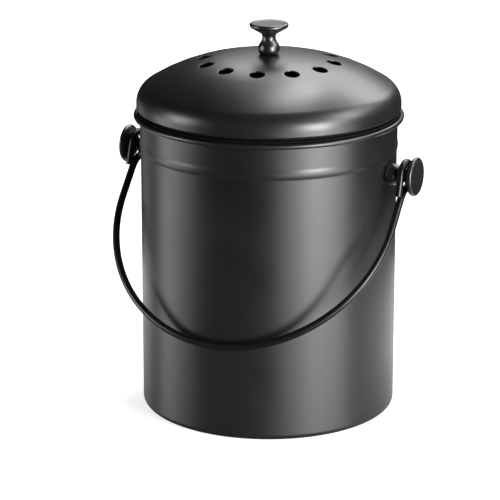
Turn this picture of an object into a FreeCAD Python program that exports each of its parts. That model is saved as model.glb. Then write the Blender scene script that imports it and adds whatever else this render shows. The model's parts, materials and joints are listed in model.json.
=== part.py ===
import FreeCAD, Part
import math
import os
import Sketcher

# Compost bin: a steel pail with a wire bail, a domed lid with vents and a carbon filter.
# Lengths are in millimetres. +X runs along the ears, the bail hangs towards -Y, +Z is up,
# and the origin is the middle of the ring that the pail stands on.

SIZES = (
    ("body_radius", "89.0", "outside of the pail's wall below the bead"),
    ("upper_step", "0.3", "how much wider the wall is above the bead"),
    ("wall_thickness", "0.8", "steel sheet of the pail"),
    ("pail_height", "210.0", "table to the top of the curled rim"),
    ("rim_overhang", "4.7", "curled rim beyond the wall below the bead"),
    ("rim_roll_radius", "1.8", "outside of the curl"),
    ("rim_tail_angle", "50.0", "how far the curl turns past its lowest point"),
    ("bead_drop", "22.3", "top of the rim to the middle of the pressed bead"),
    ("bead_width", "7.0", "height of the bead along the wall"),
    ("bead_proud", "0.55", "how far the bead stands out"),
    ("base_corner_radius", "4.0", "rounded lower edge, up to the seam"),
    ("base_foot_width", "5.0", "flat ring that the pail stands on"),
    ("base_slope_run", "4.0", "slope between the ring and the raised middle"),
    ("base_recess", "2.5", "middle of the base above the table"),
    ("base_lap", "8.0", "flange of the base inside the wall"),
    ("lid_thickness", "0.7", "steel sheet of the lid"),
    ("crown_radius", "300.0", "flat middle of the dome"),
    ("crown_edge", "28.0", "distance from the axis where the flank begins"),
    ("flank_radius", "130.0", "slope of the dome"),
    ("shoulder_radius", "15.0", "rounded edge of the dome"),
    ("lid_side_height", "2.6", "upright side between the shoulder and the hem"),
    ("hem_radius", "1.7", "rolled lower edge of the lid"),
    ("hem_gap", "2.9", "top of the rim to the bottom of the hem"),
    ("hem_return", "2.0", "inner leg of the hem"),
    ("lid_play", "2.3", "collar inside the pail's mouth, on each side"),
    ("collar_step", "2.1", "upper ring of the collar beyond its skirt"),
    ("collar_depth", "12.0", "how far the collar reaches below the rim's top"),
    ("stop_setback", "1.7", "middle of the collar's stop fold inside the crest of the rim"),
    ("seat_gap", "0.3", "parts that rest on each other and can part"),
    ("joint_gap", "0.05", "parts that are fixed to each other"),
    ("vent_count", "12", "vent holes in the lid"),
    ("vent_radius", "5.2", "one vent hole"),
    ("vent_ring_radius", "45.3", "ring on which the vents lie"),
    ("vent_turn", "14.0", "first vent from the front, towards the right ear"),
    ("knob_foot_radius", "5.6", "knob where it stands"),
    ("knob_bead_radius", "7.5", "round bead at the bottom of the knob"),
    ("knob_bead_rise", "3.7", "foot of the knob to the widest point of that bead"),
    ("knob_waist_radius", "6.0", "corner between the bead and the neck"),
    ("knob_waist_rise", "4.5", "widest point of the bead to that corner"),
    ("knob_neck_radius", "4.65", "neck of the knob"),
    ("knob_neck_rise", "3.9", "that corner to the thinnest point of the neck"),
    ("knob_flare_radius", "6.3", "neck where the head begins"),
    ("knob_flare_rise", "2.8", "thinnest point of the neck to where the head begins"),
    ("knob_head_radius", "13.45", "head of the knob"),
    ("knob_cone_rise", "3.7", "underside of the head along the axis"),
    ("knob_edge_drop", "1.8", "lower rounding of the head's edge, along the axis"),
    ("knob_edge_inset", "0.85", "lower rounding of the head's edge, across the axis"),
    ("knob_edge_round", "1.5", "upper rounding of the head's edge"),
    ("knob_rim_width", "2.0", "raised rim round the top"),
    ("knob_dish", "0.4", "how far the middle of the top lies below its rim"),
    ("knob_bore_spare", "1.5", "threaded hole in the foot beyond the screw's tip"),
    ("screw_radius", "2.0", "shank of each screw"),
    ("screw_clearance", "0.2", "round the shank in a drilled hole"),
    ("screw_reach", "8.0", "shank inside the knob"),
    ("screw_chamfer", "0.4", "tip of the shank"),
    ("screw_head_radius", "4.0", "pan head"),
    ("screw_head_height", "2.4", "pan head along the axis"),
    ("screw_head_round", "0.9", "rounded edge of the head"),
    ("slot_width", "1.0", "driver slot in the head"),
    ("slot_depth", "1.1", "depth of the slot"),
    ("washer_radius", "5.5", "flat steel washer"),
    ("washer_thickness", "1.0", "flat steel washer"),
    ("seal_radius", "7.0", "rubber washer against the inside of the wall"),
    ("seal_thickness", "1.5", "rubber washer"),
    ("ear_space", "1.5", "bead of an ear's knob below the pressed bead of the wall"),
    ("wire_radius", "2.5", "bail wire"),
    ("bail_leg", "39.6", "ear axis to the start of the bail's half circle"),
    ("eye_outset", "1.0", "bail's eye beyond the thinnest point of the neck"),
    ("eye_play", "2.05", "eye round the neck"),
    ("eye_bend_radius", "18.0", "bend between the eye and the leg"),
    ("leg_offset", "3.15", "leg behind the middle of the eye"),
    ("eye_end_gap", "0.5", "cut end of the wire from the leg"),
    ("eye_end_reach", "17.8", "ear axis to the cut end, along the leg"),
    ("retainer_fit", "0.3", "retainer inside the collar"),
    ("retainer_wall", "1.8", "plastic of the retainer"),
    ("retainer_height", "8.3", "upright wall of the retainer"),
    ("retainer_lip", "0.6", "lip under the collar beyond the upright wall"),
    ("retainer_land", "6.7", "floor ring inside the upright wall"),
    ("hub_radius", "11.0", "middle of the retainer"),
    ("spoke_count", "6", "spokes of the retainer"),
    ("spoke_width", "5.0", "one spoke"),
    ("pad_play", "0.4", "filter pad inside the retainer"),
    ("pad_thickness", "8.0", "carbon filter pad"),
    ("overrun", "5.0", "extra length of every cut"),
)

doc = FreeCAD.newDocument("compost_bin")
sheet = doc.addObject("Spreadsheet::Sheet", "sizes")
for row, (alias, value, meaning) in enumerate(SIZES, start=1):
    sheet.set(f"A{row}", alias)
    sheet.set(f"B{row}", value)
    sheet.set(f"C{row}", meaning)
    sheet.setAlias(f"B{row}", alias)
doc.recompute()


class Size:
    """A number together with the expression that ties it to the sheet."""

    def __init__(self, number, text):
        self.number = number
        self.text = text

    def __add__(self, other):
        return Size(self.number + other.number, f"({self.text} + {other.text})")

    def __sub__(self, other):
        return Size(self.number - other.number, f"({self.text} - {other.text})")

    def __mul__(self, other):
        return Size(self.number * other.number, f"({self.text} * {other.text})")

    def __truediv__(self, other):
        return Size(self.number / other.number, f"({self.text} / {other.text})")

    def __neg__(self):
        return Size(-self.number, f"(0 - {self.text})")


def size(alias):
    return Size(float(sheet.get(alias)), f"{sheet.Name}.{alias}")


def root(value):
    return Size(math.sqrt(value.number), f"sqrt({value.text})")


def sine(angle):
    return Size(math.sin(math.radians(angle.number)), f"sin({angle.text} * 1 deg)")


def cosine(angle):
    return Size(math.cos(math.radians(angle.number)), f"cos({angle.text} * 1 deg)")


def other_side(longest, side):
    """The third side of a right-angled triangle."""
    return root(longest * longest - side * side)


ZERO = Size(0.0, "0")
TWO = Size(2.0, "2")
STRAIGHT, LEFT, RIGHT = "straight", "left", "right"
bodies = []


def new_body(label):
    body = doc.addObject("PartDesign::Body", label)
    body.Label = label
    bodies.append(body)
    return body


def origin_part(body, role):
    return next(part for part in body.Origin.OriginFeatures if part.Role == role)


def tie(thing, path, value):
    thing.setExpression(path, value.text)


def new_sketch(body, name, role, offset=None):
    sketch = body.newObject("Sketcher::SketchObject", f"{body.Name}_{name}")
    sketch.AttachmentSupport = [(origin_part(body, role), "")]
    sketch.MapMode = "FlatFace"
    if offset is not None:
        sketch.AttachmentOffset = FreeCAD.Placement(
            FreeCAD.Vector(0, 0, offset.number), FreeCAD.Rotation()
        )
        tie(sketch, "AttachmentOffset.Base.z", offset)
    return sketch


def tie_distance(sketch, kind, geometry, end, value):
    """Sets how far one end of a piece of a sketch lies from the sketch's origin."""
    if value is ZERO:
        axis = -2 if kind == "DistanceX" else -1
        sketch.addConstraint(Sketcher.Constraint("PointOnObject", geometry, end, axis))
        return
    number = sketch.addConstraint(
        Sketcher.Constraint(kind, -1, 1, geometry, end, value.number)
    )
    tie(sketch, f"Constraints[{number}]", value)


def arc_between(start, end, radius, turn):
    """The short arc from start to end that turns left or right on its way."""
    chord = end - start
    middle = (start + end) * 0.5
    height = math.sqrt(max(radius * radius - chord.Length * chord.Length / 4, 0))
    aside = FreeCAD.Vector(-chord.y, chord.x, 0).normalize()
    centre = middle + aside * (height if turn == LEFT else -height)
    first, last = (start, end) if turn == LEFT else (end, start)
    angle_1 = math.atan2(first.y - centre.y, first.x - centre.x)
    angle_2 = math.atan2(last.y - centre.y, last.x - centre.x)
    while angle_2 <= angle_1:
        angle_2 += 2 * math.pi
    circle = Part.Circle(centre, FreeCAD.Vector(0, 0, 1), radius)
    return Part.ArcOfCircle(circle, angle_1, angle_2)


def draw(sketch, start, steps, closed=True):
    """Draws straight lines and arcs from corner to corner, each corner tied to the sheet."""
    corners = [start] + [step[1] for step in steps]
    points = [FreeCAD.Vector(x.number, y.number, 0) for x, y in corners]
    ends = []
    for step, here, there in zip(steps, points, points[1:]):
        if step[0] == STRAIGHT:
            number = sketch.addGeometry(Part.LineSegment(here, there), False)
        else:
            arc = arc_between(here, there, step[2].number, step[0])
            number = sketch.addGeometry(arc, False)
            radius = sketch.addConstraint(
                Sketcher.Constraint("Radius", number, step[2].number)
            )
            tie(sketch, f"Constraints[{radius}]", step[2])
        ends.append((number, 2, 1) if step[0] == RIGHT else (number, 1, 2))
    for (here, _, last), (there, first, _) in zip(ends, ends[1:]):
        sketch.addConstraint(Sketcher.Constraint("Coincident", here, last, there, first))
    if closed:
        sketch.addConstraint(
            Sketcher.Constraint("Coincident", ends[-1][0], ends[-1][2], ends[0][0], ends[0][1])
        )
        corners = corners[:-1]
    else:
        x, y = corners[-1]
        tie_distance(sketch, "DistanceX", ends[-1][0], ends[-1][2], x)
        tie_distance(sketch, "DistanceY", ends[-1][0], ends[-1][2], y)
    for (x, y), (number, first, _) in zip(corners, ends):
        tie_distance(sketch, "DistanceX", number, first, x)
        tie_distance(sketch, "DistanceY", number, first, y)


def draw_circle(sketch, x, y, radius):
    centre = FreeCAD.Vector(x.number, y.number, 0)
    circle = Part.Circle(centre, FreeCAD.Vector(0, 0, 1), radius.number)
    number = sketch.addGeometry(circle, False)
    tied = sketch.addConstraint(Sketcher.Constraint("Radius", number, radius.number))
    tie(sketch, f"Constraints[{tied}]", radius)
    tie_distance(sketch, "DistanceX", number, 3, x)
    tie_distance(sketch, "DistanceY", number, 3, y)


def turned(body, start, steps):
    """A solid turned round the upright axis from an outline of radius and height."""
    sketch = new_sketch(body, "outline", "XZ_Plane")
    draw(sketch, start, steps)
    solid = body.newObject("PartDesign::Revolution", f"{body.Name}_turned")
    solid.Profile = sketch
    solid.ReferenceAxis = (sketch, ["V_Axis"])
    solid.Angle = 360
    body.Tip = solid
    return solid


def cut_through(body, name, sketch, both_ways=False):
    """Cuts a sketch's shape through the whole body and checks that metal came away."""
    doc.recompute()
    before = body.Shape.Volume
    pocket = body.newObject("PartDesign::Pocket", f"{body.Name}_{name}")
    pocket.Profile = sketch
    pocket.Type = "ThroughAll"
    if both_ways:
        pocket.SideType = "Symmetric"
    body.Tip = pocket
    doc.recompute()
    if not body.Shape.Volume < before:
        raise RuntimeError(f"{pocket.Name} cut nothing")
    return pocket


def repeat_round(body, name, feature, count):
    """Repeats a feature evenly round the upright axis."""
    pattern = body.newObject("PartDesign::PolarPattern", f"{body.Name}_{name}")
    pattern.Originals = [feature]
    pattern.Axis = (origin_part(body, "Z_Axis"), [""])
    pattern.Angle = 360
    pattern.Occurrences = int(count.number)
    tie(pattern, "Occurrences", count)
    body.Tip = pattern
    return pattern


def place(body, x, z, turn=None):
    """Puts a piece at a distance along X and Z, turned about Y."""
    rotation = FreeCAD.Rotation(FreeCAD.Vector(0, 1, 0), turn or 0)
    base = FreeCAD.Vector(x.number, 0, z.number)
    body.Placement = FreeCAD.Placement(base, rotation)
    tie(body, "Placement.Base.x", x)
    tie(body, "Placement.Base.z", z)


# Sizes that several pieces share
body_radius = size("body_radius")
wall = size("wall_thickness")
pail_height = size("pail_height")
seat_gap = size("seat_gap")
joint_gap = size("joint_gap")
inner_radius = body_radius - wall
upper_radius = body_radius + size("upper_step")
mouth_radius = upper_radius - wall
crest_radius = body_radius + size("rim_overhang") - size("rim_roll_radius")
flare_radius = crest_radius - mouth_radius
flare_start = pail_height - flare_radius

lid_sheet = size("lid_thickness")
hem_radius = size("hem_radius")
skirt_outer = mouth_radius - size("lid_play")
skirt_inner = skirt_outer - lid_sheet
skirt_bottom = pail_height - size("collar_depth")
web_outer = skirt_outer + size("collar_step")
lid_radius = web_outer + joint_gap + hem_radius * TWO
hem_height = pail_height + size("hem_gap") + hem_radius
hem_top = hem_height + size("hem_return")
widest_height = hem_height + size("lid_side_height")
crown_radius = size("crown_radius")
flank_radius = size("flank_radius")
shoulder_radius = size("shoulder_radius")
crown_sine = size("crown_edge") / crown_radius
crown_cosine = other_side(crown_radius, size("crown_edge")) / crown_radius
flank_centre_x = (crown_radius - flank_radius) * crown_sine
shoulder_centre_x = lid_radius - shoulder_radius
flank_run = shoulder_centre_x - flank_centre_x
flank_span = flank_radius - shoulder_radius
flank_drop = other_side(flank_span, flank_run)
flank_centre_z = widest_height - flank_drop
crown_centre_z = flank_centre_z - (crown_radius - flank_radius) * crown_cosine
apex_height = crown_centre_z + crown_radius

half_bead = size("bead_width") / TWO
bead_low = pail_height - size("bead_drop") - half_bead
bead_high = pail_height - size("bead_drop") + half_bead
ear_height = bead_low - size("ear_space") - size("knob_bead_radius")
neck_level = size("knob_bead_rise") + size("knob_waist_rise") + size("knob_neck_rise")
screw_hole = size("screw_radius") + size("screw_clearance")


# Pail
def pail_wall():
    """Straight wall with a pressed bead, flared and curled outwards at the top."""
    body = new_body("pail_wall")
    seam = size("base_corner_radius")
    proud = size("bead_proud")
    bead_round = (half_bead * half_bead + proud * proud) / (TWO * proud)
    roll = size("rim_roll_radius")
    inner_roll = roll - wall
    roll_height = pail_height - roll
    tail_sine = sine(size("rim_tail_angle"))
    tail_cosine = cosine(size("rim_tail_angle"))
    inner_tail = (crest_radius - inner_roll * tail_sine, roll_height - inner_roll * tail_cosine)
    outer_tail = (crest_radius - roll * tail_sine, roll_height - roll * tail_cosine)
    turned(body, (body_radius, seam), [
        (STRAIGHT, (body_radius, bead_low)),
        (LEFT, (upper_radius, bead_high), bead_round),
        (STRAIGHT, (upper_radius, flare_start)),
        (RIGHT, (crest_radius, pail_height - wall), flare_radius - wall),
        (RIGHT, (crest_radius + inner_roll, roll_height), inner_roll),
        (RIGHT, (crest_radius, roll_height - inner_roll), inner_roll),
        (RIGHT, inner_tail, inner_roll),
        (STRAIGHT, outer_tail),
        (LEFT, (crest_radius, roll_height - roll), roll),
        (LEFT, (crest_radius + roll, roll_height), roll),
        (LEFT, (crest_radius, pail_height), roll),
        (LEFT, (mouth_radius, flare_start), flare_radius),
        (STRAIGHT, (mouth_radius, bead_high)),
        (RIGHT, (inner_radius, bead_low), bead_round),
        (STRAIGHT, (inner_radius, seam)),
        (STRAIGHT, (body_radius, seam)),
    ])
    holes = new_sketch(body, "ear_holes", "YZ_Plane")
    draw_circle(holes, ZERO, ear_height, screw_hole)
    cut_through(body, "drilled", holes, both_ways=True)


def pail_base():
    """Pressed pan whose rounded edge meets the wall and whose flange laps inside it."""
    body = new_body("pail_base")
    corner = size("base_corner_radius")
    foot_outer = body_radius - corner
    foot_inner = foot_outer - size("base_foot_width")
    middle_edge = foot_inner - size("base_slope_run")
    recess = size("base_recess")
    lap_outer = inner_radius - joint_gap
    lap_inner = lap_outer - wall
    lap_top = corner + size("base_lap")
    turned(body, (ZERO, recess), [
        (STRAIGHT, (middle_edge, recess)),
        (STRAIGHT, (foot_inner, ZERO)),
        (STRAIGHT, (foot_outer, ZERO)),
        (LEFT, (body_radius, corner), corner),
        (STRAIGHT, (lap_outer, corner)),
        (STRAIGHT, (lap_outer, lap_top)),
        (STRAIGHT, (lap_inner, lap_top)),
        (STRAIGHT, (lap_inner, corner)),
        (RIGHT, (foot_outer, wall), corner),
        (STRAIGHT, (foot_inner, wall)),
        (STRAIGHT, (middle_edge, recess + wall)),
        (STRAIGHT, (ZERO, recess + wall)),
        (STRAIGHT, (ZERO, recess)),
    ])


# Lid
def dome_point(radius_inset, part):
    """A point where two arcs of the dome meet, on its outside or one sheet further in."""
    if part == "crown edge":
        reach = crown_radius - radius_inset
        return reach * crown_sine, crown_centre_z + reach * crown_cosine
    reach = flank_radius - radius_inset
    return (
        flank_centre_x + reach * flank_run / flank_span,
        flank_centre_z + reach * flank_drop / flank_span,
    )


def lid_dome():
    """Domed sheet with a rolled hem, a ring of vents and a hole for the knob's screw."""
    body = new_body("lid_dome")
    hem_x = lid_radius - hem_radius
    inner_hem = hem_radius - lid_sheet
    turned(body, (ZERO, apex_height), [
        (RIGHT, dome_point(ZERO, "crown edge"), crown_radius),
        (RIGHT, dome_point(ZERO, "flank edge"), flank_radius),
        (RIGHT, (lid_radius, widest_height), shoulder_radius),
        (STRAIGHT, (lid_radius, hem_height)),
        (RIGHT, (hem_x, hem_height - hem_radius), hem_radius),
        (RIGHT, (hem_x - hem_radius, hem_height), hem_radius),
        (STRAIGHT, (hem_x - hem_radius, hem_top)),
        (STRAIGHT, (hem_x - inner_hem, hem_top)),
        (STRAIGHT, (hem_x - inner_hem, hem_height)),
        (LEFT, (hem_x, hem_height - inner_hem), inner_hem),
        (LEFT, (lid_radius - lid_sheet, hem_height), inner_hem),
        (STRAIGHT, (lid_radius - lid_sheet, widest_height)),
        (LEFT, dome_point(lid_sheet, "flank edge"), shoulder_radius - lid_sheet),
        (LEFT, dome_point(lid_sheet, "crown edge"), flank_radius - lid_sheet),
        (LEFT, (ZERO, apex_height - lid_sheet), crown_radius - lid_sheet),
        (STRAIGHT, (ZERO, apex_height)),
    ])
    above = apex_height + size("overrun")
    centre = new_sketch(body, "screw_hole", "XY_Plane", above)
    draw_circle(centre, ZERO, ZERO, screw_hole)
    cut_through(body, "drilled", centre)
    vent = new_sketch(body, "vent", "XY_Plane", above)
    ring = size("vent_ring_radius")
    vent_x = ring * sine(size("vent_turn"))
    vent_y = -(ring * cosine(size("vent_turn")))
    draw_circle(vent, vent_x, vent_y, size("vent_radius"))
    punched = cut_through(body, "punched", vent)
    repeat_round(body, "vents", punched, size("vent_count"))


def lid_collar():
    """Ring held in the hem: a skirt inside the pail's mouth and a fold that sits on the rim."""
    body = new_body("lid_collar")
    web_inner = web_outer - lid_sheet
    fold_x = crest_radius - size("stop_setback")
    reach = flare_radius + lid_sheet + seat_gap
    fold_z = flare_start + other_side(reach, size("stop_setback"))
    turned(body, (skirt_inner, skirt_bottom), [
        (STRAIGHT, (skirt_outer, skirt_bottom)),
        (STRAIGHT, (skirt_outer, fold_z - lid_sheet)),
        (STRAIGHT, (fold_x, fold_z - lid_sheet)),
        (LEFT, (fold_x + lid_sheet, fold_z), lid_sheet),
        (LEFT, (fold_x, fold_z + lid_sheet), lid_sheet),
        (STRAIGHT, (web_outer, fold_z + lid_sheet)),
        (STRAIGHT, (web_outer, hem_top)),
        (STRAIGHT, (web_inner, hem_top)),
        (STRAIGHT, (web_inner, fold_z)),
        (STRAIGHT, (skirt_inner, fold_z)),
        (STRAIGHT, (skirt_inner, skirt_bottom)),
    ])


def filter_pieces():
    """Plastic retainer that pushes into the collar from below, and the carbon pad on it."""
    body = new_body("filter_retainer")
    plastic = size("retainer_wall")
    ring_outer = skirt_inner - size("retainer_fit")
    ring_inner = ring_outer - plastic
    lip_outer = ring_outer + size("retainer_lip")
    land_inner = ring_inner - size("retainer_land")
    floor_top = skirt_bottom - seat_gap
    floor_bottom = floor_top - plastic
    turned(body, (land_inner, floor_bottom), [
        (STRAIGHT, (lip_outer, floor_bottom)),
        (STRAIGHT, (lip_outer, floor_top)),
        (STRAIGHT, (ring_outer, floor_top)),
        (STRAIGHT, (ring_outer, floor_top + size("retainer_height"))),
        (STRAIGHT, (ring_inner, floor_top + size("retainer_height"))),
        (STRAIGHT, (ring_inner, floor_top)),
        (STRAIGHT, (land_inner, floor_top)),
        (STRAIGHT, (land_inner, floor_bottom)),
    ])
    half_spoke = size("spoke_width") / TWO
    spoke = new_sketch(body, "spoke", "XY_Plane", floor_bottom)
    spoke_end = land_inner + size("retainer_land") / TWO
    draw(spoke, (ZERO, -half_spoke), [
        (STRAIGHT, (spoke_end, -half_spoke)),
        (STRAIGHT, (spoke_end, half_spoke)),
        (STRAIGHT, (ZERO, half_spoke)),
        (STRAIGHT, (ZERO, -half_spoke)),
    ])
    bar = body.newObject("PartDesign::Pad", "filter_retainer_bar")
    bar.Profile = spoke
    tie(bar, "Length", plastic)
    body.Tip = bar
    repeat_round(body, "spokes", bar, size("spoke_count"))
    middle = new_sketch(body, "middle", "XY_Plane", floor_bottom)
    draw_circle(middle, ZERO, ZERO, size("hub_radius"))
    hub = body.newObject("PartDesign::Pad", "filter_retainer_hub")
    hub.Profile = middle
    tie(hub, "Length", plastic)
    body.Tip = hub

    pad = new_body("filter_pad")
    pad_outer = ring_inner - size("pad_play")
    pad_top = floor_top + size("pad_thickness")
    turned(pad, (ZERO, floor_top), [
        (STRAIGHT, (pad_outer, floor_top)),
        (STRAIGHT, (pad_outer, pad_top)),
        (STRAIGHT, (ZERO, pad_top)),
        (STRAIGHT, (ZERO, floor_top)),
    ])


# Knobs and their fasteners
def knob(label):
    """Turned knob standing on its foot: a bead, a thin neck and a dished head."""
    body = new_body(label)
    bore = size("screw_radius") + joint_gap
    bore_end = size("screw_reach") + size("knob_bore_spare")
    foot = size("knob_foot_radius")
    bead = size("knob_bead_radius")
    bead_z = size("knob_bead_rise")
    waist = size("knob_waist_radius")
    waist_z = bead_z + size("knob_waist_rise")
    neck = size("knob_neck_radius")
    neck_z = neck_level
    flare = size("knob_flare_radius")
    flare_z = neck_z + size("knob_flare_rise")
    head = size("knob_head_radius")
    under_x = head - size("knob_edge_inset")
    under_z = flare_z + size("knob_cone_rise")
    head_z = under_z + size("knob_edge_drop")
    top = head_z + size("knob_edge_round")
    rim_x = head - size("knob_edge_round")
    dish_x = rim_x - size("knob_rim_width")
    dish_z = top - size("knob_dish")

    def quarter(across, along):
        """Radius of an arc that runs along the axis at one end and spans these two steps."""
        return (across * across + along * along) / (TWO * across)

    turned(body, (bore, ZERO), [
        (STRAIGHT, (foot, ZERO)),
        (LEFT, (bead, bead_z), quarter(bead - foot, bead_z)),
        (LEFT, (waist, waist_z), quarter(bead - waist, waist_z - bead_z)),
        (RIGHT, (neck, neck_z), quarter(waist - neck, neck_z - waist_z)),
        (RIGHT, (flare, flare_z), quarter(flare - neck, flare_z - neck_z)),
        (STRAIGHT, (under_x, under_z)),
        (LEFT, (head, head_z), quarter(head - under_x, head_z - under_z)),
        (LEFT, (rim_x, top), size("knob_edge_round")),
        (STRAIGHT, (dish_x, dish_z)),
        (STRAIGHT, (ZERO, dish_z)),
        (STRAIGHT, (ZERO, bore_end)),
        (STRAIGHT, (bore, bore_end)),
        (STRAIGHT, (bore, ZERO)),
    ])
    return body


def screw(label, shank_length):
    """Pan-head screw standing on its head, with a driver slot."""
    body = new_body(label)
    head = size("screw_head_radius")
    height = size("screw_head_height")
    edge = size("screw_head_round")
    shank = size("screw_radius")
    tip = height + shank_length
    turned(body, (ZERO, ZERO), [
        (STRAIGHT, (head - edge, ZERO)),
        (LEFT, (head, edge), edge),
        (STRAIGHT, (head, height)),
        (STRAIGHT, (shank, height)),
        (STRAIGHT, (shank, tip - size("screw_chamfer"))),
        (STRAIGHT, (shank - size("screw_chamfer"), tip)),
        (STRAIGHT, (ZERO, tip)),
        (STRAIGHT, (ZERO, ZERO)),
    ])
    doc.recompute()
    before = body.Shape.Volume
    half = size("slot_width") / TWO
    past = head + size("overrun")
    slot = new_sketch(body, "slot", "XY_Plane")
    draw(slot, (-past, -half), [
        (STRAIGHT, (past, -half)),
        (STRAIGHT, (past, half)),
        (STRAIGHT, (-past, half)),
        (STRAIGHT, (-past, -half)),
    ])
    pocket = body.newObject("PartDesign::Pocket", f"{label}_slotted")
    pocket.Profile = slot
    pocket.Reversed = True
    tie(pocket, "Length", size("slot_depth"))
    body.Tip = pocket
    doc.recompute()
    if not body.Shape.Volume < before:
        raise RuntimeError(f"{pocket.Name} cut nothing")
    return body


def washer(label, outer, thickness):
    body = new_body(label)
    turned(body, (screw_hole, ZERO), [
        (STRAIGHT, (outer, ZERO)),
        (STRAIGHT, (outer, thickness)),
        (STRAIGHT, (screw_hole, thickness)),
        (STRAIGHT, (screw_hole, ZERO)),
    ])
    return body


def lid_knob():
    """Knob on top of the dome, held by a screw and a washer from inside."""
    ring = size("washer_radius")
    flat = size("washer_thickness")
    inner_crown = crown_radius - lid_sheet
    washer_top = crown_centre_z + other_side(inner_crown, ring)
    washer_bottom = washer_top - flat
    place(knob("lid_knob"), ZERO, apex_height)
    place(washer("lid_knob_washer", ring, flat), ZERO, washer_bottom)
    shank = apex_height + size("screw_reach") - washer_bottom
    place(screw("lid_knob_screw", shank), ZERO, washer_bottom - size("screw_head_height"))


def ears():
    """A knob on each side of the pail, held by a screw, a washer and a rubber seal."""
    seal = size("seal_radius")
    ring = size("washer_radius")
    flat = size("washer_thickness")
    rubber = size("seal_thickness")
    seal_outer = other_side(inner_radius - joint_gap, seal)
    seal_inner = seal_outer - rubber
    washer_inner = seal_inner - flat
    shank = body_radius + size("screw_reach") - washer_inner
    head_end = washer_inner - size("screw_head_height")
    for side, turn in (("left", -90), ("right", 90)):
        def out(value):
            return value if side == "right" else -value

        place(knob(f"ear_knob_{side}"), out(body_radius), ear_height, turn)
        place(washer(f"ear_seal_{side}", seal, rubber), out(seal_inner), ear_height, turn)
        place(washer(f"ear_washer_{side}", ring, flat), out(washer_inner), ear_height, turn)
        place(screw(f"ear_screw_{side}", shank), out(head_end), ear_height, turn)


# Bail
def handle():
    """One bent wire: a half circle, two legs and an eye round each neck.

    It is drawn hanging straight down from the ear axis and then swung forwards until the
    wire rests against the front of the wall. The legs leave the backs of the eyes.
    """
    wire = size("wire_radius")
    eye = size("knob_neck_radius") + size("eye_play") + wire
    bend = size("eye_bend_radius")
    offset = size("leg_offset")
    width = body_radius + neck_level + size("eye_outset")
    leg_end = size("bail_leg")
    leave_cosine = (offset + bend) / (eye + bend)
    leave_sine = other_side(eye + bend, offset + bend) / (eye + bend)
    leg_start = (eye + bend) * leave_sine
    end_reach = size("eye_end_reach")
    end_aside = TWO * wire + size("eye_end_gap") - offset
    end_squared = end_reach * end_reach + end_aside * end_aside
    end_straight = root(end_squared - eye * eye)
    end_cosine = (eye * end_aside + end_straight * end_reach) / end_squared
    end_sine = (eye * end_reach - end_straight * end_aside) / end_squared
    body = new_body("handle")

    path = new_sketch(body, "bail_path", "XZ_Plane", -offset)
    draw(path, (width, -leg_start), [
        (STRAIGHT, (width, -leg_end)),
        (RIGHT, (ZERO, -(leg_end + width)), width),
        (RIGHT, (-width, -leg_end), width),
        (STRAIGHT, (-width, -leg_start)),
    ], closed=False)
    section = new_sketch(body, "bail_section", "XY_Plane", -leg_start)
    draw_circle(section, width, offset, wire)
    bail = body.newObject("PartDesign::AdditivePipe", "handle_bail")
    bail.Profile = section
    bail.Spine = (path, ["Edge1", "Edge2", "Edge3", "Edge4"])
    body.Tip = bail

    eye_path = new_sketch(body, "eye_path", "YZ_Plane", width)
    draw(eye_path, (offset, -leg_start), [
        (RIGHT, (eye * leave_cosine, -(eye * leave_sine)), bend),
        (LEFT, (ZERO, eye), eye),
        (LEFT, (-(eye * end_cosine), -(eye * end_sine)), eye),
        (STRAIGHT, (-end_aside, -end_reach)),
    ], closed=False)
    eye_section = new_sketch(body, "eye_section", "XY_Plane", -leg_start)
    draw_circle(eye_section, width, offset, wire)
    right_eye = body.newObject("PartDesign::AdditivePipe", "handle_eye")
    right_eye.Profile = eye_section
    right_eye.Spine = (eye_path, ["Edge1", "Edge2", "Edge3", "Edge4"])
    body.Tip = right_eye
    both = body.newObject("PartDesign::Mirrored", "handle_eyes")
    both.Originals = [right_eye]
    both.MirrorPlane = (origin_part(body, "YZ_Plane"), [""])
    body.Tip = both

    reach = leg_end + width
    length = root(reach * reach + offset * offset)
    stand_off = body_radius + wire + seat_gap
    swing = math.asin(stand_off.number / length.number) + math.atan2(offset.number, reach.number)
    body.Placement = FreeCAD.Placement(
        FreeCAD.Vector(0, 0, ear_height.number),
        FreeCAD.Rotation(FreeCAD.Vector(-1, 0, 0), math.degrees(swing)),
    )
    tie(body, "Placement.Base.z", ear_height)
    angle_text = f"asin({stand_off.text} / {length.text}) + atan({offset.text} / {reach.text})"
    body.setExpression("Placement.Rotation.Angle", angle_text)
    print("bail rests at", round(math.degrees(swing), 3), "degrees from hanging")


pail_wall()
pail_base()
lid_dome()
lid_collar()
filter_pieces()
lid_knob()
ears()
handle()
doc.recompute()

for thing in doc.Objects:
    if "Invalid" in thing.State or "Error" in thing.State:
        raise RuntimeError(f"{thing.Name} failed: {thing.State}")
os.makedirs("parts", exist_ok=True)
for body in bodies:
    if body.Shape.isNull() or not body.Shape.isValid():
        raise RuntimeError(f"{body.Label} has no sound shape")
for body in bodies:
    body.Shape.exportStep(f"parts/{body.Label}.step")
    box = body.Shape.BoundBox
    print(
        body.Label, "solids", len(body.Shape.Solids), "volume", round(body.Shape.Volume),
        "x", round(box.XMin, 2), round(box.XMax, 2), "y", round(box.YMin, 2),
        round(box.YMax, 2), "z", round(box.ZMin, 2), round(box.ZMax, 2),
    )
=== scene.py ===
# %% [markdown]
# A steel compost bin: a pail with a wire bail, a vented lid with a knob and a carbon
# filter under the lid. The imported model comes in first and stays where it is. Every
# visible sheet and wire is then made again with smooth surfaces in the same place,
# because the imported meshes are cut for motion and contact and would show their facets.
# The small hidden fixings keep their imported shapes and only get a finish.

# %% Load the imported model
import json
import math

import bmesh
import bpy
from mathutils import Matrix, Vector


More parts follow.
